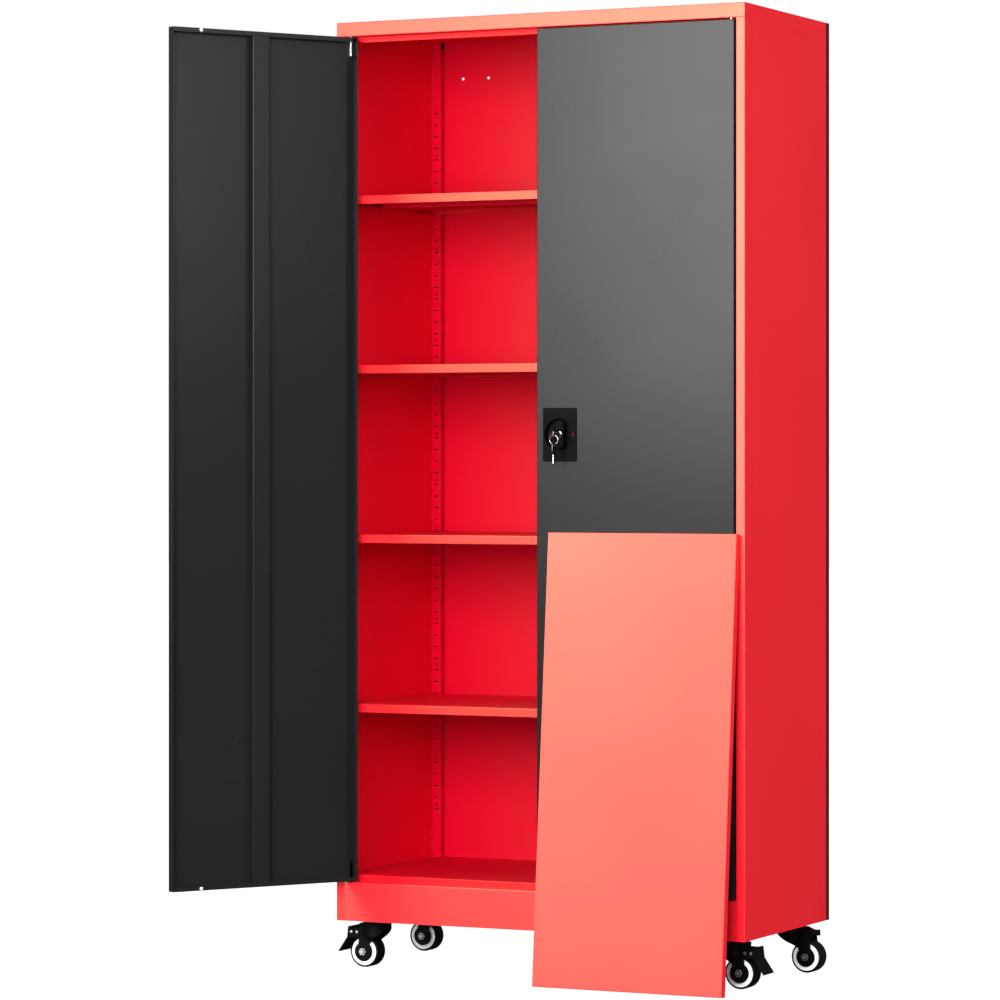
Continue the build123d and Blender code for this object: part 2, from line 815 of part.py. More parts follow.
# Casters, drawn for the right-hand side with the swivel axis at the origin and the wheel trailing to +X


def caster_plate(x, y):
    """Top plate of one caster with its upper race and kingpin."""
    size = (plate_size_x / 2, plate_size_y / 2)
    part = block((x - size[0], x + size[0]), (y - size[1], y + size[1]), (plate_bottom, rail_base))
    part += bar_z(x, y, cup_radius, (cup_bottom, rail_base))
    part += bar_z(x, y, kingpin_radius, (crown_top - kingpin_reach, rail_base))
    cut = (cup_bottom - cut_overrun, rail_base + cut_overrun)
    for shift_x, shift_y in bolt_places():
        part -= bar_z(x + shift_x, y + shift_y, bolt_radius + bolt_clearance, cut)
    return part


def caster_plates():
    """The four top plates."""
    return [caster_plate(x, y) for x in (-pivot_x, pivot_x) for y in (-pivot_y, pivot_y)]


def caster_bolts():
    """Bolts that hold the four plates to the rails."""
    bolts = []
    for x in (-pivot_x, pivot_x):
        for y in (-pivot_y, pivot_y):
            for shift_x, shift_y in bolt_places():
                shank = bar_z(x + shift_x, y + shift_y, bolt_radius, (plate_bottom, rail_base + bolt_tail))
                hexagon = Pos(x + shift_x, y + shift_y, plate_bottom) * RegularPolygon(bolt_head_radius, 6)
                bolts.append(shank + extrude(hexagon, amount=-bolt_head))
    return bolts


def caster_fork(trail, braked):
    """Fork: a round crown that slants into two legs, with thread guards and, without a brake, a tail."""
    outer = fork_inside + fork_sheet
    profile = outline([
        (crown_radius, crown_top),
        (trail + fork_nose, fork_top),
        (trail + fork_boss_radius, axle_z),
        (trail - fork_boss_radius, axle_z),
        (trail - fork_waist_in, axle_z + fork_waist_up),
        (-crown_radius, crown_top - fork_heel_drop),
        (-crown_radius, crown_top),
    ])
    profile += Pos(trail, axle_z) * Circle(fork_boss_radius)
    rim = crown_top - crown_height
    legs_heel = (crown_radius**2 - outer**2)**0.5
    mass = block((-legs_heel, trail + fork_boss_radius), both(outer), (axle_z - fork_boss_radius, crown_top))
    mass += bar_z(0, 0, crown_radius, (rim, crown_top))
    mass += Pos(0, 0, rim - crown_taper / 2) * Cone(outer, crown_radius, crown_taper)
    part = front_view(profile, both(crown_radius)) & mass
    if not braked:
        tail_x = (trail - tail_front, trail + tail_back)
        part += block(tail_x, both(outer), (fork_top - tail_drop, fork_top + tail_rise))
    gap_x = (-crown_radius - cut_overrun, trail + tail_back + cut_overrun)
    part -= block(gap_x, both(fork_inside), (-cut_overrun, crown_top - crown_thickness))
    guard_y = (fork_inside - guard_thickness, fork_inside + fork_sheet / 2)
    for y in (guard_y, (-guard_y[1], -guard_y[0])):
        part += bar_y(trail, axle_z, guard_radius, y)
    part -= bar_y(trail, axle_z, axle_radius + seat_gap, both(outer + cut_overrun))
    king = (crown_top - kingpin_reach - swivel_gap, crown_top + cut_overrun)
    part -= bar_z(0, 0, kingpin_radius + kingpin_clearance, king)
    if braked:
        x, z = pedal_pivot(trail)
        part -= bar_y(x, z, pedal_pin_radius + pedal_pin_clearance, both(outer + cut_overrun))
    return part


def caster_core(trail):
    """Wheel core with its hub, a shallow dish for the thread guards and a groove in each face."""
    part = bar_y(trail, axle_z, wheel_radius - tyre_thickness - seat_gap, both(wheel_half - tyre_side))
    part += bar_y(trail, axle_z, core_dish_radius - core_dish_depth, both(wheel_half))
    part -= bar_y(trail, axle_z, axle_radius + axle_clearance, both(wheel_half + cut_overrun))
    face = wheel_half - tyre_side
    groove = (face - core_groove_width, face + cut_overrun)
    for y in (groove, (-groove[1], -groove[0])):
        ring = bar_y(trail, axle_z, core_groove_radius, y)
        part -= ring - bar_y(trail, axle_z, core_groove_radius - core_groove_width, y)
    return part


def caster_tyre(trail):
    """Tyre on the core, with rounded shoulders."""
    part = bar_y(trail, axle_z, wheel_radius, both(wheel_half))
    part = fillet(part.edges().filter_by(GeomType.CIRCLE), tyre_round)
    return part - bar_y(trail, axle_z, wheel_radius - tyre_thickness, both(wheel_half + cut_overrun))


def caster_axle(trail):
    """Axle bolt through the fork and wheel, with a hexagon at each end and its tip outside the nut."""
    outer = fork_inside + fork_sheet
    part = bar_y(trail, axle_z, axle_radius, both(outer + nut_height))
    part += bar_y(trail, axle_z, axle_tip_radius, both(outer + nut_height + axle_tip))
    hexagon = Pos(trail, axle_z) * RegularPolygon(nut_radius, 6)
    for y in ((outer, outer + nut_height), (-outer - nut_height, -outer)):
        part += front_view(hexagon, y)
    return part


def pedal_pivot(trail):
    """Place of the brake pedal's pivot, from the swivel axis and the floor."""
    return trail + pedal_pivot_out, crown_top - pedal_pivot_drop


def brake_pedal(trail):
    """Brake pedal: two arms outside the fork, a tread that slopes down and out, and a shoe over the tyre."""
    outer = fork_inside + fork_sheet
    x, z = pedal_pivot(trail)
    high = crown_top - pedal_top_drop
    reach = trail + pedal_arm_out
    knee = (trail + pedal_knee_out, crown_top - pedal_knee_drop)
    tip = (trail + pedal_tip_out, crown_top - pedal_tip_drop)
    arm = outline([
        (x, z + pedal_boss_radius),
        (reach - pedal_plate, high - pedal_plate),
        (knee[0] - pedal_plate, knee[1]),
        (x + pedal_boss_radius, knee[1]),
        (x, z - pedal_boss_radius),
    ])
    arm += Pos(x, z) * Circle(pedal_boss_radius)
    for shift in (0, pedal_hole_spacing):
        arm -= Pos(reach - pedal_hole_inset - shift, crown_top - pedal_hole_drop) * Circle(pedal_hole_radius)
    tread = outline([
        (reach - pedal_tab, high),
        (reach, high),
        knee,
        tip,
        (tip[0] - pedal_plate, tip[1] - pedal_plate / 2),
        (knee[0] - pedal_plate, knee[1] - pedal_plate / 2),
        (reach - pedal_plate, high - pedal_plate),
        (reach - pedal_tab, high - pedal_plate),
    ])
    part = front_view(tread, both(pedal_half_width))
    arm_y = (outer + pedal_side_gap, outer + pedal_side_gap + pedal_sheet)
    pin_y_span = (fork_inside + pedal_side_gap, arm_y[1])
    shoe_x = trail + shoe_out
    for y, pin in ((arm_y, pin_y_span), ((-arm_y[1], -arm_y[0]), (-pin_y_span[1], -pin_y_span[0]))):
        part += front_view(arm, y)
        part += bar_y(x, z, pedal_pin_radius, pin)
    shoe_low = crown_top - shoe_drop
    web_x = (reach - pedal_plate - pedal_sheet, reach - pedal_plate)
    part += block(web_x, both(shoe_half_width), (shoe_low, high))
    return part + block((shoe_x, web_x[1]), both(shoe_half_width), (shoe_low, shoe_low + shoe_height))


def caster_at(part, left, rear):
    """A caster piece moved from its own place to one corner of the cabinet."""
    moved = Pos(pivot_x, pivot_y if rear else -pivot_y, 0) * part
    return mirrored(moved) if left else moved


# Nodes


def nodes():
    """Every node's name with its solid, or its list of separate solids."""
    made = {
        "side_panel_left": mirrored(side_panel()),
        "side_panel_right": side_panel(),
        "top_panel": top_panel(),
        "back_panel": back_panel(),
        "floor_panel": floor_panel(),
        "front_plinth": front_plinth(),
        "rear_plinth": rear_plinth(),
        "caster_rail_left": mirrored(caster_rail()),
        "caster_rail_right": caster_rail(),
        "upright_front_left": mirrored(front_upright()),
        "upright_front_right": front_upright(),
        "upright_rear_left": mirrored(rear_upright()),
        "upright_rear_right": rear_upright(),
        "shelf_clips": shelf_clips(),
        "back_screws": back_screws(),
        "caster_plates": caster_plates(),
        "caster_bolts": caster_bolts(),
        "left_door_panel": opened(door_panel(sheet)),
        "left_door_stiffener": opened(door_stiffener()),
        "left_hinge_brackets": [opened(part) for part in hinge_brackets()],
        "left_hinge_pins": [opened(part) for part in hinge_pins()],
        "right_door_panel": right_door_panel(),
        "right_door_stiffener": door_stiffener(),
        "right_hinge_brackets": hinge_brackets(),
        "right_hinge_pins": hinge_pins(),
        "lock_escutcheon": lock_escutcheon(),
        "rod_guides": rod_guides(),
        "handle_grip": handle_grip(),
        "lock_cam": lock_cam(),
        "upper_rod": upper_rod(),
        "lower_rod": lower_rod(),
        "lock_cylinder": lock_cylinder(),
        "key": inserted_key(),
        "key_ring": key_ring(),
        "spare_key": spare_key(),
        "spare_shelf": spare_place() * shelf_pan(),
        "spare_shelf_stiffener": spare_place() * shelf_stiffener(),
    }
    made["shelf_stiffeners"] = [shelf_place(i) * shelf_stiffener() for i in range(shelf_count)]
    for index in range(shelf_count):
        made[f"shelf_{index + 1}"] = shelf_place(index) * shelf_pan()
    for rear, row, trail in ((False, "front", front_trail), (True, "rear", rear_trail)):
        for left, side in ((True, "left"), (False, "right")):
            corner = f"{row}_{side}"
            made[f"fork_{corner}"] = caster_at(caster_fork(trail, not rear), left, rear)
            made[f"wheel_core_{corner}"] = caster_at(caster_core(trail), left, rear)
            made[f"tyre_{corner}"] = caster_at(caster_tyre(trail), left, rear)
            made[f"axle_{corner}"] = caster_at(caster_axle(trail), left, rear)
            if not rear:
                made[f"brake_pedal_{corner}"] = caster_at(brake_pedal(trail), left, rear)
    return made


os.makedirs("parts", exist_ok=True)
for name, shape in nodes().items():
    solids = shape if isinstance(shape, list) else [shape]
    export_step(Compound(children=solids) if len(solids) > 1 else solids[0], f"parts/{name}.step")
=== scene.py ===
"""Metal garage cabinet on casters: a red powder-coated steel carcass with dark grey doors.
The left door is open, and a spare shelf leans on the right one."""
from math import copysign, cos, radians, sin, tau

import bmesh
import bpy
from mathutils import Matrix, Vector


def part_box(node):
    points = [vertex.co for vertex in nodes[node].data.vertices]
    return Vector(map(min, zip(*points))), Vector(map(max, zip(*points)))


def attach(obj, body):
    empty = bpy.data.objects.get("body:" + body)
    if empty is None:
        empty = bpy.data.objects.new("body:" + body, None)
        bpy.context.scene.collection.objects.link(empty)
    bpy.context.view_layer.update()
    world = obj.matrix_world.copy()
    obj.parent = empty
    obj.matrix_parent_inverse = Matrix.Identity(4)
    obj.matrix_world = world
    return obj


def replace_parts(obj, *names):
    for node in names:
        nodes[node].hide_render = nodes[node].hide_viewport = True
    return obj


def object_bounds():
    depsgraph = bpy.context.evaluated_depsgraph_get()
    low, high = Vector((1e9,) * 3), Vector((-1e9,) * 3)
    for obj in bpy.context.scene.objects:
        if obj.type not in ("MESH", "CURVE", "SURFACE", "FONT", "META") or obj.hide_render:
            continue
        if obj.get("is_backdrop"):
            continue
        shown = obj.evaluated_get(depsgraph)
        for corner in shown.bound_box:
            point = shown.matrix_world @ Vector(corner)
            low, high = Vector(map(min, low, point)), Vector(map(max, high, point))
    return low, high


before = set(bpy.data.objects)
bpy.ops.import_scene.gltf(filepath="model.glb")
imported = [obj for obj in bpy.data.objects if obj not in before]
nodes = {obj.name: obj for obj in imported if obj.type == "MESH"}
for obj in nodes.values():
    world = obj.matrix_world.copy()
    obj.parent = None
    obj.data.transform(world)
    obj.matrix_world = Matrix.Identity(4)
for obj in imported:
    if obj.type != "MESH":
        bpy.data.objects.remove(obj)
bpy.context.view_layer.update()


# Carcass: side, top, back and floor panels, plinths and caster rails.
# Folded from cold-rolled steel sheet, spot welded, then powder coated red all over, inside and out.


def linear(code):
    """An sRGB hex colour as the linear colour that a socket takes."""
    values = [int(code[i:i + 2], 16) / 255 for i in (1, 3, 5)]
    return [v / 12.92 if v <= 0.04045 else ((v + 0.055) / 1.055) ** 2.4 for v in values] + [1.0]


def add_node(tree, kind, inputs=None, **settings):
    """Adds a node to a tree, with its settings, and its inputs as values or as links from sockets."""
    node = tree.nodes.new(kind)
    for name, value in settings.items():
        setattr(node, name, value)
    for key, value in (inputs or {}).items():
        if isinstance(value, bpy.types.NodeSocket):
            tree.links.new(value, node.inputs[key])
        else:
            node.inputs[key].default_value = value
    return node


def new_material(name):
    """A new material, its tree, its Object coordinates, and its shader, which is linked to the output."""
    material = bpy.data.materials.new(name)
    material.use_nodes = True
    tree = material.node_tree
    tree.nodes.clear()
    shader = add_node(tree, "ShaderNodeBsdfPrincipled")
    add_node(tree, "ShaderNodeOutputMaterial", {"Surface": shader.outputs["BSDF"]})
    return material, tree, add_node(tree, "ShaderNodeTexCoord").outputs["Object"], shader


def finish_with(material, *names):
    """Gives CAD nodes a material in all their slots."""
    for name in names:
        for place in nodes[name].material_slots:
            place.material = material


# A Mix node of colours has its sockets by number: the share, the two colours and the result.
mix_share, mix_from, mix_to, mix_result = 0, 6, 7, 2


def powder_coat(name, colour, deep, roughness, gloss, tint="#FFFFFF", shade_below=None, shaded_limits=None):
    """Polyester powder coat, sprayed and baked: a satin film that flowed into a faint orange peel, with a
    slow drift of film thickness. The peel is about 1 mm across and is drawn at 4 mm, so that it shows.
    Below a height, the gloss falls to a fifth, as painted shade. Within the shaded limits, the colour is
    a dark red: painted shade in the hollows."""
    peel_mm, peel_depth_mm, peel_strength = 4.0, 0.4, 0.04
    drift_mm, drift_low, drift_high, octaves = 260.0, 0.3, 0.7, 2.0
    polyester_ior, sheen_spread = 1.5, 0.02
    edge_mm, shade_gloss_share, cavity_shade = 0.5, 0.2, "#4A080F"
    material, tree, place, shader = new_material(name)
    drift = add_node(tree, "ShaderNodeTexNoise", {"Vector": place, "Scale": 1000 / drift_mm,
                                                  "Detail": octaves})
    tone = add_node(tree, "ShaderNodeMix", {mix_share: drift.outputs[0], mix_from: linear(deep),
                                            mix_to: linear(colour)}, data_type="RGBA")
    # Painted shade: within the limits the base colour turns dark red, for the shade in the uprights'
    # hollows.
    if shaded_limits:
        spot = add_node(tree, "ShaderNodeSeparateXYZ", {"Vector": place})
        side = add_node(tree, "ShaderNodeMath", {0: spot.outputs["X"]}, operation="ABSOLUTE")
        inside = 1.0
        for value, limit, test in zip((side.outputs[0], spot.outputs["Y"], spot.outputs["Y"]), shaded_limits,
                                      ("GREATER_THAN", "GREATER_THAN", "LESS_THAN")):
            passed = add_node(tree, "ShaderNodeMath", {0: value, 1: limit}, operation=test)
            both = add_node(tree, "ShaderNodeMath", {0: passed.outputs[0], 1: inside},
                            operation="MULTIPLY")
            inside = both.outputs[0]
        tone = add_node(tree, "ShaderNodeMix", {mix_share: inside, mix_from: tone.outputs[mix_result],
                                                mix_to: linear(cavity_shade)}, data_type="RGBA")
    tree.links.new(tone.outputs[mix_result], shader.inputs["Base Color"])
    sheen = add_node(tree, "ShaderNodeMapRange", {
        "Value": drift.outputs[0], "From Min": drift_low, "From Max": drift_high,
        "To Min": roughness - sheen_spread, "To Max": roughness + sheen_spread})
    tree.links.new(sheen.outputs[0], shader.inputs["Roughness"])
    peel = add_node(tree, "ShaderNodeTexNoise", {"Vector": place, "Scale": 1000 / peel_mm,
                                                 "Detail": octaves})
    bump = add_node(tree, "ShaderNodeBump", {"Strength": peel_strength, "Distance": peel_depth_mm / 1000,
                                             "Height": peel.outputs[0]})
    tree.links.new(bump.outputs[0], shader.inputs["Normal"])
    shader.inputs["IOR"].default_value = polyester_ior
    shader.inputs["Specular IOR Level"].default_value = gloss
    shader.inputs["Specular Tint"].default_value = linear(tint)
    # Painted shade: below the given height the gloss drops to a fifth, which dims the reflection there.
    if shade_below:
        height = add_node(tree, "ShaderNodeSeparateXYZ", {"Vector": place})
        film = add_node(tree, "ShaderNodeMapRange", {
            "Value": height.outputs["Z"], "From Min": shade_below - edge_mm / 1000,
            "From Max": shade_below + edge_mm / 1000, "To Min": shade_gloss_share * gloss, "To Max": gloss})
        tree.links.new(film.outputs[0], shader.inputs["Specular IOR Level"])
    return material


# Painted shade: a dark red stands for the shade inside the closed rear uprights, seen through their slots.
# Known fault: these limits have no outer bound, so they take in the outside of the sides too, where a dark
# strip shows along the rear edges.
sheet_mm = 1.0
half_sheet = sheet_mm / 2000
low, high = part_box("upright_rear_left")
upright_cavity_shade = (half_sheet - high.x, low.y + half_sheet, high.y + half_sheet)
band_mm = 29.0
red, deep_red, coral_glint = "#E40024", "#DE0021", "#FFE6B4"
# Outside, the film is full and satin and mirrors a pale coral; inside, it is dull, and its deeper red is
# painted shade.
# The top's gloss drops to a fifth below the foot of its front band, as painted shade, and the floor's is
# half dull.
red_coat = powder_coat("red_powder_coat", red, deep_red, roughness=0.44, gloss=1.0, tint=coral_glint,
                       shaded_limits=upright_cavity_shade)
red_coat_inside_shaded = powder_coat("red_powder_coat_inside", "#C20022", "#BC0020", roughness=0.5, gloss=0.12,
                             tint=coral_glint, shaded_limits=upright_cavity_shade)
top_coat = powder_coat("red_powder_coat_top", red, deep_red, roughness=0.44, gloss=1.0, tint=coral_glint,
                       shade_below=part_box("top_panel")[1].z - band_mm / 1000)
amber_glint = "#FFE4A6"
# The floor's deeper red is painted shade as well.
floor_coat_shaded = powder_coat("red_powder_coat_floor", "#C8001E", "#C2001C", roughness=0.5, gloss=0.3,
                         tint=amber_glint)
finish_with(red_coat, "side_panel_left", "side_panel_right", "front_plinth", "rear_plinth")
finish_with(top_coat, "top_panel")
finish_with(floor_coat_shaded, "floor_panel")
finish_with(red_coat_inside_shaded, "back_panel", "caster_rail_left", "caster_rail_right")

# Screws of the back panel: two rows of zinc-plated pan heads with a cross recess.
# Cold-headed, so each is a low dome with a punched cross; they clamp the back panel to the rear folds.


def plated(name, dark, colour, streak_mm, roughness, black_below=None):
    """Plate on steel: a silver metal with fine drawn streaks and a little cloudiness. Below a height, the
    pieces are drawn near black."""
    streak_stretch, octaves, near_black = 10.0, 3.0, "#161617"
    streak_low, streak_high, sheen_spread = 0.3, 0.7, 0.05
    material, tree, place, shader = new_material(name)
    drawn = add_node(tree, "ShaderNodeMapping", {"Vector": place, "Scale": (1.0, 1.0, 1 / streak_stretch)})
    streak = add_node(tree, "ShaderNodeTexNoise", {"Vector": drawn.outputs[0], "Scale": 1000 / streak_mm,
                                                   "Detail": octaves})
    tone = add_node(tree, "ShaderNodeMix", {mix_share: streak.outputs[0], mix_from: linear(dark),
                                            mix_to: linear(colour)}, data_type="RGBA")
    # Below the given height, the base colour is near black.
    if black_below:
        height = add_node(tree, "ShaderNodeSeparateXYZ", {"Vector": place})
        upper = add_node(tree, "ShaderNodeMath", {0: height.outputs["Z"], 1: black_below},
                         operation="GREATER_THAN")
        tone = add_node(tree, "ShaderNodeMix", {mix_share: upper.outputs[0], mix_from: linear(near_black),
                                                mix_to: tone.outputs[mix_result]}, data_type="RGBA")
    tree.links.new(tone.outputs[mix_result], shader.inputs["Base Color"])
    sheen = add_node(tree, "ShaderNodeMapRange", {
        "Value": streak.outputs[0], "From Min": streak_low, "From Max": streak_high,
        "To Min": roughness - sheen_spread, "To Max": roughness + sheen_spread})
    tree.links.new(sheen.outputs[0], shader.inputs["Roughness"])
    shader.inputs["Metallic"].default_value = 1.0
    return material


def turned(profile, steps, closed=False):
    """A shape turned about the Y axis from points of radius and depth, all in millimetres."""
    shape = bmesh.new()
    rings = []
    for radius, depth in profile:
        count = steps if radius else 1
        rings.append([shape.verts.new((radius * cos(tau * i / steps) / 1000, depth / 1000,
                                       radius * sin(tau * i / steps) / 1000)) for i in range(count)])
    for first, second in zip(rings, rings[1:] + rings[:1] if closed else rings[1:]):
        for i in range(steps):
            corners = [first[i % len(first)], first[(i + 1) % steps % len(first)],
                       second[(i + 1) % steps % len(second)], second[i % len(second)]]
            shape.faces.new(dict.fromkeys(corners))
    return shape


def to_mesh(shape, name, crease=35):
    """A mesh from a shape: its faces point outwards and are smooth up to a crease angle in degrees."""
    bmesh.ops.recalc_face_normals(shape, faces=shape.faces)
    mesh = bpy.data.meshes.new(name)
    shape.to_mesh(mesh)
    shape.free()
    mesh.shade_smooth()
    mesh.set_sharp_from_angle(angle=radians(crease))
    return mesh


def add_piece(name, mesh, material, body):
    """A piece of the object with its material and the body that carries it."""
    mesh.materials.clear()
    mesh.materials.append(material)
    piece = bpy.data.objects.new(name, mesh)
    bpy.context.scene.collection.objects.link(piece)
    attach(piece, body)
    return piece


def modified(mesh, kind, **settings):
    """A mesh after one modifier."""
    holder = bpy.data.objects.new("holder", mesh)
    bpy.context.scene.collection.objects.link(holder)
    modifier = holder.modifiers.new(kind, kind)
    for name, value in settings.items():
        if name.startswith("Socket_"):
            modifier[name] = value
        else:
            setattr(modifier, name, value)
    graph = bpy.context.evaluated_depsgraph_get()
    result = bpy.data.meshes.new_from_object(holder.evaluated_get(graph))
    bpy.data.objects.remove(holder)
    return result


repeat_tree = bpy.data.node_groups.new("repeat_on_points", "GeometryNodeTree")
repeat_inputs = {"Points": "Geometry", "Shape": "Object", "Facing": "Float", "Finish": "Material"}
sockets = {}
for label, kind in repeat_inputs.items():
    sockets[label] = repeat_tree.interface.new_socket(label, in_out="INPUT",
                                                      socket_type=f"NodeSocket{kind}")
repeat_tree.interface.new_socket("Pieces", in_out="OUTPUT", socket_type="NodeSocketGeometry")
given = add_node(repeat_tree, "NodeGroupInput")
model = add_node(repeat_tree, "GeometryNodeObjectInfo", {"Object": given.outputs["Shape"]})
turn = add_node(repeat_tree, "ShaderNodeCombineXYZ", {"Z": given.outputs["Facing"]})
copies = add_node(repeat_tree, "GeometryNodeInstanceOnPoints",
                  {"Points": given.outputs["Points"], "Instance": model.outputs["Geometry"],
                   "Rotation": turn.outputs[0]})
real = add_node(repeat_tree, "GeometryNodeRealizeInstances", {"Geometry": copies.outputs[0]})
finished = add_node(repeat_tree, "GeometryNodeSetMaterial",
                    {"Geometry": real.outputs[0], "Material": given.outputs["Finish"]})
add_node(repeat_tree, "NodeGroupOutput", {"Pieces": finished.outputs[0]})


def repeated(name, mesh, points, material, body, facing=0.0):
    """One piece made of copies of a mesh at points, each turned about Z to the way it faces."""
    spots = bpy.data.meshes.new("spots")
    spots.from_pydata(points, [], [])
    model = bpy.data.objects.new("model", mesh)
    bpy.context.scene.collection.objects.link(model)
    values = {sockets["Shape"].identifier: model, sockets["Facing"].identifier: facing,
              sockets["Finish"].identifier: material}
    result = modified(spots, "NODES", node_group=repeat_tree, **values)
    bpy.data.objects.remove(model)
    return add_piece(name, result, material, body)


# Bright zinc: a cool silver with a soft, streaked glint.
zinc_dark, zinc_light, zinc_streak_mm, zinc_roughness = "#A9ACB1", "#DCDEE1", 1.2, 0.28
bright_zinc = plated("bright_zinc_plate", zinc_dark, zinc_light, zinc_streak_mm, zinc_roughness)
screw_rows, screw_head_mm, screw_dome_mm, screw_steps = 7, 4.0, 2.2, 28
screw_profile = [(0, screw_dome_mm), (1.5, 2.1), (2.8, 1.75), (3.6, 1.1), (screw_head_mm, 0.3),
                 (screw_head_mm, -0.4), (0, -0.4)]
head = to_mesh(turned(screw_profile, screw_steps), "head")
arm_mm, slit_mm, recess_floor_mm, punch_mm = 2.3, 0.55, 0.9, 3.0
arm = [(slit_mm, slit_mm), (slit_mm, arm_mm), (-slit_mm, arm_mm)]
outline = []
for _ in range(4):
    outline += arm
    arm = [(-z, x) for x, z in arm]
cross = bmesh.new()
corners = [cross.verts.new((x / 1000, recess_floor_mm / 1000, z / 1000)) for x, z in outline]
bed = cross.faces.new(corners)
lifted = bmesh.ops.extrude_face_region(cross, geom=[bed])["geom"]
bmesh.ops.translate(cross, vec=(0, punch_mm / 1000, 0),
                    verts=[v for v in lifted if isinstance(v, bmesh.types.BMVert)])
tool = bpy.data.objects.new("cross_punch", to_mesh(cross, "cross_punch"))
bpy.context.scene.collection.objects.link(tool)
head = modified(head, "BOOLEAN", object=tool, operation="DIFFERENCE", solver="EXACT")
bpy.data.objects.remove(tool)
low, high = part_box("back_screws")
screw_y = high.y - screw_dome_mm / 1000
inset = screw_head_mm / 1000
reach = high.z - low.z - 2 * inset
heights = [low.z + inset + reach * i / (screw_rows - 1) for i in range(screw_rows)]
screw_places = [(x, screw_y, z) for x in (low.x + inset, high.x - inset) for z in heights]
screws = repeated("back_screw_heads", head, screw_places, bright_zinc, "carcass")
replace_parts(screws, "back_screws")

# Uprights, shelves and their stiffeners: the same sheet and the same coat as the carcass.
# The uprights are punched with slots; each shelf is a hemmed pan that rests on four coated clips.

# The shelves' film is less glossy than the outside's, and its slightly deeper red is painted shade.
red_shelf_coat_shaded = powder_coat("red_powder_coat_shelf", "#D20020", "#CC001E", roughness=0.44, gloss=0.75,
                             tint=amber_glint)
shelves = ("shelf_1", "shelf_2", "shelf_3", "shelf_4")
finish_with(red_coat_inside_shaded, "upright_front_left", "upright_front_right", "upright_rear_left",
            "upright_rear_right", "shelf_stiffeners", "shelf_clips")
finish_with(red_shelf_coat_shaded, *shelves)
finish_with(red_coat, "spare_shelf", "spare_shelf_stiffener")

# Doors: folded pans with a hat section inside, hung on pins, powder coated dark grey.
# The hat is spot welded along both feet, and soft white buffers sit on the lips at both ends.

# Grey coat: smooth and nearly black, with a weak sheen.
grey_coat = powder_coat("grey_powder_coat", "#1A1A1A", "#181818", roughness=0.26, gloss=0.15)
finish_with(grey_coat, "left_door_panel", "left_door_stiffener", "left_hinge_brackets",
            "right_door_panel", "right_door_stiffener", "right_hinge_brackets")
# The upper pins glint like the screws, and the lower ones, drawn near black, hardly show.
pin_zinc = plated("hinge_pin_plate", zinc_dark, zinc_light, zinc_streak_mm, zinc_roughness,
                  black_below=1.0)
finish_with(pin_zinc, "left_hinge_pins", "right_hinge_pins")


def moulded(name, dark, colour, grain_mm, roughness, ior, relief=0.1, gloss=0.5):
    """A moulded polymer: an even colour with a fine grain from the mould, in its tone and its relief."""
    octaves, grain_depth_mm = 3.0, 0.2
    material, tree, place, shader = new_material(name)
    grain = add_node(tree, "ShaderNodeTexNoise", {"Vector": place, "Scale": 1000 / grain_mm,
                                                  "Detail": octaves})
    tone = add_node(tree, "ShaderNodeMix", {mix_share: grain.outputs[0], mix_from: linear(dark),
                                            mix_to: linear(colour)}, data_type="RGBA")
    tree.links.new(tone.outputs[mix_result], shader.inputs["Base Color"])
    bump = add_node(tree, "ShaderNodeBump", {"Strength": relief, "Distance": grain_depth_mm / 1000,
                                             "Height": grain.outputs[0]})
    tree.links.new(bump.outputs[0], shader.inputs["Normal"])
    shader.inputs["Roughness"].default_value = roughness
    shader.inputs["IOR"].default_value = ior
    shader.inputs["Specular IOR Level"].default_value = gloss
    return material


# Silicone rubber: a soft, bright white.
white_rubber = moulded("white_silicone_rubber", "#EDEDEB", "#F8F8F6", grain_mm=1.0, roughness=0.5,
                       ior=1.43)
buffer_steps, weld_steps = 20, 12
buffer_profile = [(0, 1.8), (2.2, 1.75), (3.1, 1.3), (3.5, 0.6), (3.5, -0.2), (0, -0.2)]
buffer_mesh = to_mesh(turned(buffer_profile, buffer_steps), "buffer")
weld_profile = [(0, 0.02), (1.5, 0.06), (2.3, 0.24), (2.9, 0.12), (3.3, -0.1), (0, -0.1)]
weld_mesh = to_mesh(turned(weld_profile, weld_steps), "weld")
left_door_angle = 121.5
pin_to_free_mm, pin_to_lip_mm, pin_to_foot_mm = 417.65, 15.0, -3.0
buffer_from_free_mm, buffer_from_end_mm = 63.2, 3.9
hat_from_pin_mm, foot_from_hat_mm = 215.45, 24.0
weld_count = 15
for side, angle, sign in (("left", -radians(left_door_angle), 1), ("right", 0.0, -1)):
    low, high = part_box(f"{side}_hinge_pins")
    hinge = (low + high) / 2
    along = Vector((sign * cos(angle), sign * sin(angle), 0)) / 1000
    inward = Vector((-sin(angle), cos(angle), 0)) / 1000
    floor_of_door, top_of_door = (corner.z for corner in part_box(f"{side}_door_panel"))
    lip = hinge + along * (pin_to_free_mm - buffer_from_free_mm) + inward * pin_to_lip_mm
    ends = (floor_of_door + buffer_from_end_mm / 1000, top_of_door - buffer_from_end_mm / 1000)
    repeated(f"{side}_door_buffers", buffer_mesh.copy(), [(lip.x, lip.y, z) for z in ends], white_rubber,
             f"{side}_door", angle)
    spots = []
    for shift in (-foot_from_hat_mm, foot_from_hat_mm):
        foot = hinge + along * (hat_from_pin_mm + shift) + inward * pin_to_foot_mm
        step = (top_of_door - floor_of_door) / weld_count
        spots += [(foot.x, foot.y, floor_of_door + step * (i + 0.5)) for i in range(weld_count)]
    repeated(f"{side}_door_spot_welds", weld_mesh.copy(), spots, grey_coat, f"{side}_door",
             angle)

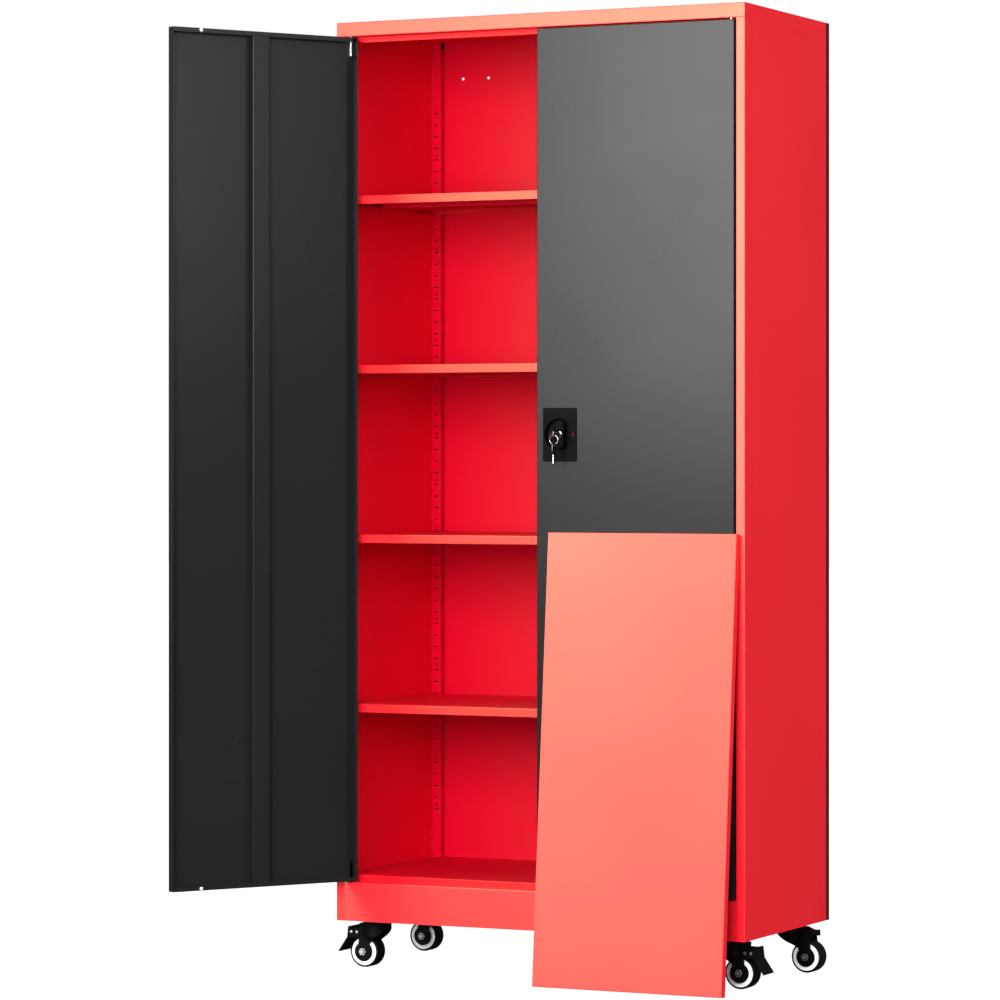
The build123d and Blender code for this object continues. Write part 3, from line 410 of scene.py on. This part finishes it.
# Lock: a moulded black plate with a round dish, a turning grip, and the cam and rods behind the door.
# Two red paint marks lie on the dish's floor, to the left and to the right of the grip.

# ABS: a deep, even black with a faint grain and hardly any gloss.
black_abs = moulded("black_abs", "#050505", "#080808", grain_mm=1.2, roughness=0.42, ior=1.53,
                    gloss=0.025)
finish_with(black_abs, "lock_escutcheon", "handle_grip", "rod_guides")
finish_with(bright_zinc, "lock_cam", "upper_rod", "lower_rod")
# Mark paint: a dark, dull red.
red_mark = moulded("red_mark_paint", "#480A10", "#560D15", grain_mm=1.5, roughness=0.5, ior=1.5,
                   gloss=0.04)
low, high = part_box("lock_escutcheon")
lock = (low + high) / 2
dish_floor_mm = 2.0
dish_floor = high.y - dish_floor_mm / 1000
mark_out_mm, mark_width_mm, mark_height_mm, mark_thick_mm = 25.5, 4.0, 8.0, 0.15
mark_corner_mm, mark_corner_steps = 1.2, 4
marks = bmesh.new()
for side in (-1, 1):
    block = bmesh.ops.create_cube(marks, size=1 / 1000)["verts"]
    bmesh.ops.scale(marks, vec=(mark_width_mm, 2 * mark_thick_mm, mark_height_mm), verts=block)
    bmesh.ops.translate(marks, vec=(lock.x + side * mark_out_mm / 1000, dish_floor, lock.z), verts=block)
through = [e for e in marks.edges if abs(e.verts[0].co.y - e.verts[1].co.y) > mark_thick_mm / 1000]
bmesh.ops.bevel(marks, geom=through, offset=mark_corner_mm / 1000, segments=mark_corner_steps,
                affect="EDGES", profile=0.5)
add_piece("grip_position_marks", to_mesh(marks, "marks"), red_mark, "right_door")

# Lock cylinder, keys and ring: a plated cylinder in a bezel, one key in it, and a spare on a split ring.
# The keys are stamped nickel-plated blades in moulded black heads; the ring is two turns of spring wire.

# Nickel: a warm, bright silver with sharp reflections.
nickel = plated("bright_nickel_plate", "#C4C2BD", "#F1EFEA", streak_mm=0.8, roughness=0.14)
finish_with(nickel, "lock_cylinder")
grip_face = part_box("handle_grip")[0].y
bezel_steps = 40
bezel_profile = [(5.6, 0.3), (5.6, -1.1), (6.0, -1.5), (6.7, -1.3), (7.2, -0.5), (7.3, 0.3)]
bezel = turned(bezel_profile, bezel_steps, closed=True)
bmesh.ops.translate(bezel, vec=(lock.x, grip_face, lock.z), verts=bezel.verts)
add_piece("cylinder_bezel", to_mesh(bezel, "bezel"), nickel, "handle")

head_length_mm, head_width_mm, hole_from_end_mm, hole_mm = 24.0, 19.0, 5.0, 3.0
# Each point of the relief is a share of the way from the hole to the outline, and half a thickness there.
head_relief = ((0, 1.8), (0.06, 2.3), (0.2, 2.3), (0.27, 1.8), (0.78, 1.8), (0.85, 2.3), (0.95, 2.2),
               (1.0, 1.6))
head_steps, head_squareness = 56, 0.5
blade_mm, blade_half_mm, blade_half_thick_mm = 18.0, 3.5, 1.0
root_mm, taper_mm, nose_mm, nose_half_mm = 1.0, 0.8, 2.2, 0.8
cut_depths_mm = (1.1, 2.0, 0.7, 1.7, 1.2)
first_cut_mm, cut_pitch_mm, cut_half_mm, cut_floor_half_mm = 2.4, 2.6, 1.0, 0.3


def key_head(place):
    """A key's moulded head: rings from the hole out to a squared oval, with a raised rim and collar."""
    shape = bmesh.new()
    rings = []
    for share, half in head_relief + tuple((share, -half) for share, half in reversed(head_relief)):
        ring = []
        for i in range(head_steps):
            c, s = cos(tau * i / head_steps), sin(tau * i / head_steps)
            hole = (hole_from_end_mm - head_length_mm + hole_mm * c, hole_mm * s)
            rim = (head_length_mm / 2 * (copysign(abs(c) ** head_squareness, c) - 1),
                   head_width_mm / 2 * copysign(abs(s) ** head_squareness, s))
            flat = [h + (r - h) * share for h, r in zip(hole, rim)]
            ring.append(shape.verts.new(place(flat[0], flat[1], half)))
        rings.append(ring)
    for first, second in zip(rings, rings[1:] + rings[:1]):
        for i in range(head_steps):
            j = (i + 1) % head_steps
            shape.faces.new((first[i], first[j], second[j], second[i]))
    return to_mesh(shape, "key_head")


def key_blade(place):
    """A key's blade: a flat strip with a tapered nose and a row of cuts along one edge."""
    taper, nose = blade_mm - taper_mm, blade_mm + nose_mm
    edge = [(-root_mm, -blade_half_mm), (taper, -blade_half_mm), (nose, -nose_half_mm),
            (nose, nose_half_mm), (taper, blade_half_mm)]
    for i, depth in enumerate(cut_depths_mm):
        middle = blade_mm - first_cut_mm - cut_pitch_mm * i
        bottom = blade_half_mm - depth
        edge += [(middle + cut_half_mm, blade_half_mm), (middle + cut_floor_half_mm, bottom),
                 (middle - cut_floor_half_mm, bottom), (middle - cut_half_mm, blade_half_mm)]
    edge.append((-root_mm, blade_half_mm))
    shape = bmesh.new()
    both_faces = (blade_half_thick_mm, -blade_half_thick_mm)
    sides = [[shape.verts.new(place(a, b, half)) for a, b in edge] for half in both_faces]
    shape.faces.new(sides[0])
    shape.faces.new(list(reversed(sides[1])))
    for i in range(len(edge)):
        j = (i + 1) % len(edge)
        shape.faces.new((sides[0][i], sides[0][j], sides[1][j], sides[1][i]))
    return to_mesh(shape, "key_blade")


# Key heads: a smooth black polymer with a soft gloss.
black_head = moulded("black_key_head", "#080808", "#0E0E0F", grain_mm=1.0, roughness=0.3, ior=1.5)
key_low, key_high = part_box("key")
spare_low, spare_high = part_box("spare_key")
key_middle = (key_low + key_high) / 2
spare_middle = (spare_low + spare_high) / 2
seat_y = key_low.y + head_length_mm / 1000
spare_seat_z = spare_high.z - head_length_mm / 1000


def in_lock(a, b, c):
    """A key's own place, along, across and through it in millimetres, as the key in the lock has it."""
    return key_middle.x + c / 1000, seat_y + a / 1000, key_middle.z + b / 1000


def on_ring(a, b, c):
    """The same for the spare key, which hangs with its blade down."""
    return spare_middle.x + c / 1000, spare_middle.y + b / 1000, spare_seat_z - a / 1000


for name, place, body in (("key", in_lock, "cylinder"), ("spare_key", on_ring, "spare_key")):
    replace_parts(add_piece(f"{name}_head", key_head(place), black_head, body), name)
    add_piece(f"{name}_blade", key_blade(place), nickel, body)

ring_low, ring_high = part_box("key_ring")
ring_middle = (ring_low + ring_high) / 2
wire_mm, ring_turns, ring_steps, wire_sides, wire_crease = 0.75, 2.0, 112, 10, 50
ring_mm = (ring_high.z - ring_low.z) * 1000 / 2 - wire_mm
wire = bmesh.new()
hoops = []
for i in range(ring_steps + 1):
    angle = tau * ring_turns * i / ring_steps
    lean_mm = wire_mm * (2 * i / ring_steps - 1)
    hoop = []
    for k in range(wire_sides):
        out_mm = ring_mm + wire_mm * cos(tau * k / wire_sides)
        aside_mm = lean_mm + wire_mm * sin(tau * k / wire_sides)
        hoop.append(wire.verts.new((ring_middle.x + out_mm * cos(angle) / 1000,
                                    ring_middle.y + aside_mm / 1000,
                                    ring_middle.z + out_mm * sin(angle) / 1000)))
    hoops.append(hoop)
for first, second in zip(hoops, hoops[1:]):
    for k in range(wire_sides):
        j = (k + 1) % wire_sides
        wire.faces.new((first[k], first[j], second[j], second[k]))
wire.faces.new(hoops[0])
wire.faces.new(list(reversed(hoops[-1])))
split_ring = add_piece("split_ring", to_mesh(wire, "split_ring", wire_crease), nickel, "ring")
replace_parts(split_ring, "key_ring")

# Casters: pressed forks coated black, moulded white cores with dark tyres, axle bolts with locking nuts.
# The front two have brake pedals, whose arms are held by two riveted pins.

# Black dip coat: the same kind of film, in a deep, even black with a weak sheen.
black_coat = powder_coat("black_e_coat", "#0A0A0B", "#070708", roughness=0.36, gloss=0.14)
finish_with(black_coat, "caster_plates")
finish_with(bright_zinc, "caster_bolts")
# Axle plate: a pale zinc, lighter and duller than the screws'.
nut_zinc = plated("axle_zinc_plate", "#D2D4D6", "#F2F3F4", zinc_streak_mm, roughness=0.55)
# Polypropylene: a clean, waxy white. Polyurethane: a dull near-black. Nylon: a dark grey, softly glossy.
white_core = moulded("white_polypropylene", "#F2F2F0", "#FBFBFA", grain_mm=1.5, roughness=0.35, ior=1.49)
dark_rubber = moulded("dark_polyurethane", "#090909", "#101010", grain_mm=2.0, roughness=0.45, ior=1.5,
                      gloss=0.2)
nylon_insert = moulded("dark_nylon", "#1B1B1D", "#26262A", grain_mm=0.8, roughness=0.4, ior=1.53)
insert_profile = [(3.45, -0.5), (3.45, 0.5), (3.9, 0.8), (4.8, 0.7), (5.3, 0.2), (5.3, -0.2),
                  (4.8, -0.7), (3.9, -0.8)]
insert_steps, nut_face_mm = 24, 1.6
insert_mesh = to_mesh(turned(insert_profile, insert_steps, closed=True), "insert")
for corner in ("front_left", "front_right", "rear_left", "rear_right"):
    finish_with(black_coat, f"fork_{corner}")
    finish_with(white_core, f"wheel_core_{corner}")
    finish_with(dark_rubber, f"tyre_{corner}")
    finish_with(nut_zinc, f"axle_{corner}")
    low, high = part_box(f"axle_{corner}")
    middle = (low + high) / 2
    faces = (low.y + nut_face_mm / 1000, high.y - nut_face_mm / 1000)
    spots = [(middle.x, y, middle.z) for y in faces]
    repeated(f"nut_inserts_{corner}", insert_mesh.copy(), spots, nylon_insert, f"fork_{corner}")

pin_half_mm, pin_head_mm, pin_mm, pin_steps = 24.6, 3.3, 2.1, 20
pin_profile = [(0, -1.3), (1.6, -1.2), (2.7, -0.7), (pin_head_mm, 0.05), (pin_mm, 0.05)]
pin_shape = [(radius, depth - pin_half_mm) for radius, depth in pin_profile]
pin_shape += [(radius, pin_half_mm - depth) for radius, depth in reversed(pin_profile)]
pin_mesh = to_mesh(turned(pin_shape, pin_steps), "brake_pin")
pin_out_mm, pin_below_top_mm = (26.0, 13.2), 11.0
for side, sign in (("left", -1), ("right", 1)):
    corner = f"front_{side}"
    finish_with(black_coat, f"brake_pedal_{corner}")
    low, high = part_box(f"tyre_{corner}")
    wheel = (low + high) / 2
    pin_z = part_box(f"brake_pedal_{corner}")[1].z - pin_below_top_mm / 1000
    spots = [(wheel.x + sign * out / 1000, wheel.y, pin_z) for out in pin_out_mm]
    repeated(f"brake_pins_{corner}", pin_mesh.copy(), spots, nut_zinc, f"pedal_{corner}")

# Studio: a level camera at the photograph's place, a pale floor, and four soft boxes, two of them only
# mirrored. These lift the front faces to a pale coral, and the one further to the left, which the open door
# shades, is for the shelves, plinth, floor and spare shelf alone. The others light the front and the right.

camera_place, camera_heading = (3.5687, -7.7531, 1.0354), 25.856
sensor_mm, lens_mm, frame_shift = 36.0, 150.5, -0.0384
camera = bpy.data.objects.new("camera", bpy.data.cameras.new("camera"))
bpy.context.scene.collection.objects.link(camera)
camera.location = camera_place
camera.rotation_euler = (radians(90), 0, radians(camera_heading))
camera.data.sensor_width = sensor_mm
camera.data.lens = lens_mm
camera.data.shift_y = frame_shift
bpy.context.scene.camera = camera
bpy.context.scene.view_settings.view_transform = "Standard"

# The floor shows as plain white, but throws back only as much light as a grey one.
floor_half, floor_roughness = 30, 0.9
floor_white, floor_grey, floor_mirrored = "#FFFFFF", "#606060", "#303030"
pale, tree, place, shader = new_material("pale_floor")
shader.inputs["Roughness"].default_value = floor_roughness
shader.inputs["Specular IOR Level"].default_value = 0.0
shader.inputs["Emission Color"].default_value = linear(floor_white)
rays = add_node(tree, "ShaderNodeLightPath")
tree.links.new(rays.outputs["Is Camera Ray"], shader.inputs["Emission Strength"])
bounce = add_node(tree, "ShaderNodeMix", {
    mix_share: rays.outputs["Is Glossy Ray"], mix_from: linear(floor_grey),
    mix_to: linear(floor_mirrored)}, data_type="RGBA")
tree.links.new(bounce.outputs[mix_result], shader.inputs["Base Color"])
mesh = bpy.data.meshes.new("floor")
corners = [(floor_half * x, floor_half * y, 0) for x, y in ((-1, -1), (1, -1), (1, 1), (-1, 1))]
mesh.from_pydata(corners, [], [(0, 1, 2, 3)])
mesh.materials.append(pale)
floor = bpy.data.objects.new("floor", mesh)
bpy.context.scene.collection.objects.link(floor)
floor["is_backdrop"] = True

# The room is brighter towards the front left, dimmer in reflections, and plain white to the camera.
bright_side = (-0.42, -0.88, 0.2)
lit_levels, mirrored_levels, mirrored_start = (0.72, 2.0), (0.06, 0.5), -0.4
white = (1, 1, 1, 1)
world = bpy.data.worlds.new("studio")
bpy.context.scene.world = world
world.use_nodes = True
tree = world.node_tree
tree.nodes.clear()
rays = add_node(tree, "ShaderNodeLightPath")
sky = add_node(tree, "ShaderNodeTexCoord")
heading = add_node(tree, "ShaderNodeVectorMath", {0: sky.outputs["Generated"], 1: bright_side},
                   operation="DOT_PRODUCT")
lit = add_node(tree, "ShaderNodeMapRange", {
    "Value": heading.outputs["Value"], "From Min": -1.0, "From Max": 1.0,
    "To Min": lit_levels[0], "To Max": lit_levels[1]})
mirrored = add_node(tree, "ShaderNodeMapRange", {
    "Value": heading.outputs["Value"], "From Min": mirrored_start, "From Max": 1.0,
    "To Min": mirrored_levels[0], "To Max": mirrored_levels[1]})
level = add_node(tree, "ShaderNodeMix", {"Factor": rays.outputs["Is Glossy Ray"], "A": lit.outputs[0],
                                         "B": mirrored.outputs[0]})
fill = add_node(tree, "ShaderNodeBackground", {"Color": white, "Strength": level.outputs[0]})
seen = add_node(tree, "ShaderNodeBackground", {"Color": white, "Strength": 1.0})
shown = add_node(tree, "ShaderNodeMixShader", {0: rays.outputs["Is Camera Ray"], 1: fill.outputs[0],
                                               2: seen.outputs[0]})
add_node(tree, "ShaderNodeOutputWorld", {"Surface": shown.outputs[0]})


def soft_box(name, place, target, width, height, power, lights=True, mirrors=True, only=()):
    """An area light at a place, turned towards a target, that lights matt surfaces, shows in glossy ones,
    or both. It reaches only the given pieces, where some are given."""
    light = bpy.data.lights.new(name, "AREA")
    light.shape = "RECTANGLE"
    light.size = width
    light.size_y = height
    light.energy = power
    lamp = bpy.data.objects.new(name, light)
    lamp.location = place
    lamp.rotation_euler = (Vector(target) - Vector(place)).to_track_quat("-Z", "Y").to_euler()
    lamp.visible_diffuse = lights
    lamp.visible_glossy = mirrors
    if only:
        reached = bpy.data.collections.new(f"reached_by_{name}")
        for piece in only:
            reached.objects.link(piece)
        lamp.light_linking.receiver_collection = reached
    bpy.context.scene.collection.objects.link(lamp)


door_shaded = [nodes[name] for name in shelves + ("front_plinth", "floor_panel", "spare_shelf")]
unshaded = [piece for piece in bpy.context.scene.objects
            if piece.type == "MESH" and piece != floor and piece not in door_shaded]
soft_box("mirrored_box", place=(-1.02, -5.2, 2.42), target=(0, 0, 1.2), width=2.6, height=2.6, power=400,
         lights=False, only=unshaded)
soft_box("left_box", place=(-4.4, -3.8, 3.6), target=(0, 0, 1.2), width=2.2, height=2.6, power=1700,
         lights=False, only=door_shaded)
soft_box("key_box", place=(0.9, -5.2, 1.8), target=(-0.1, 0, 1.0), width=2.4, height=2.4, power=400,
         mirrors=False)
soft_box("right_box", place=(4.8, -1.4, 2.4), target=(-0.5, -0.3, 1.2), width=1.4, height=1.8, power=42)

low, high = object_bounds()
